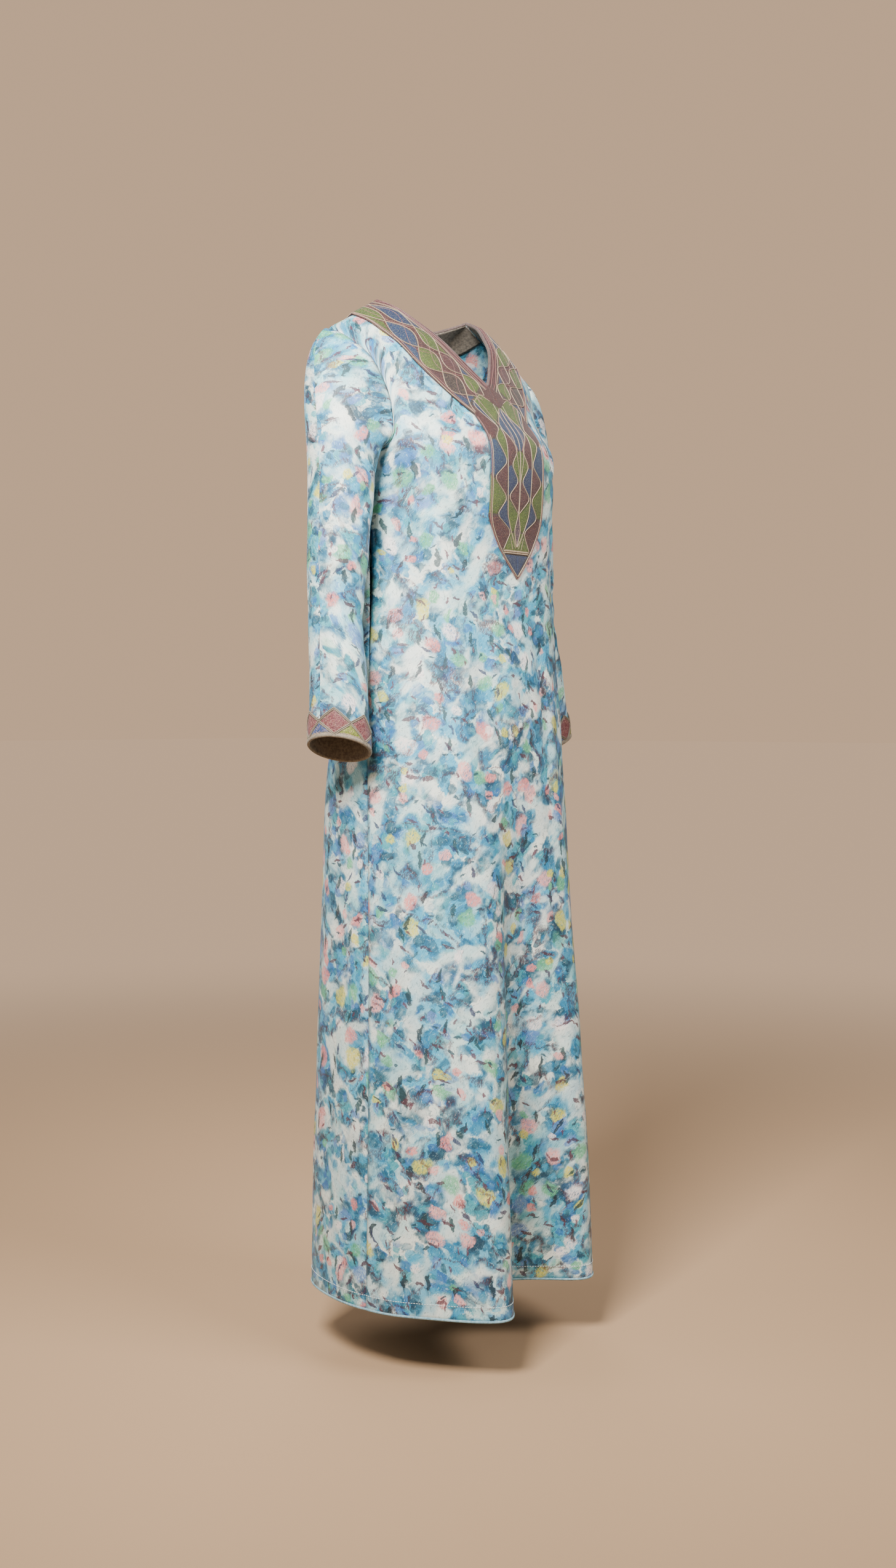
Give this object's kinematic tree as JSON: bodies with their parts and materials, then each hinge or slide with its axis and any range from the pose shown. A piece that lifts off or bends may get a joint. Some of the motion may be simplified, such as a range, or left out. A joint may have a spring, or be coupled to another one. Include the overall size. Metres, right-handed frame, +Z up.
{
  "type": "abaya, worn",
  "caption": "Hollow worn floor-length V-neck abaya with long sleeves, A-line skirt folds, embroidered neck band with pointed chest panel, and zigzag cuffs.",
  "frame": {"origin": "midway between the neck ends of the two shoulder seams, where the wearer's shoulders hold it", "axes": "+Z up, +X to the wearer's left, -Y is the front"},
  "size_m": [0.522, 0.3728, 1.3394],
  "materials": {
    "printed_cloth": "soft satin sheen, painterly print on pale mint",
    "embroidery": "dense matte stitching with metallic outline cords",
    "facing": "plain matte weave"
  },
  "bodies": {
    "root": {"front": "printed_cloth", "back": "printed_cloth", "sleeve_right": "printed_cloth", "sleeve_left": "printed_cloth", "neck_trim_front": "embroidery", "neck_trim_back": "embroidery", "neck_facing_front": "facing", "neck_facing_back": "facing", "cuff_trim_right": "embroidery", "cuff_trim_left": "embroidery", "cuff_facing_right": "facing", "cuff_facing_left": "facing"}
  },
  "joints": []
}
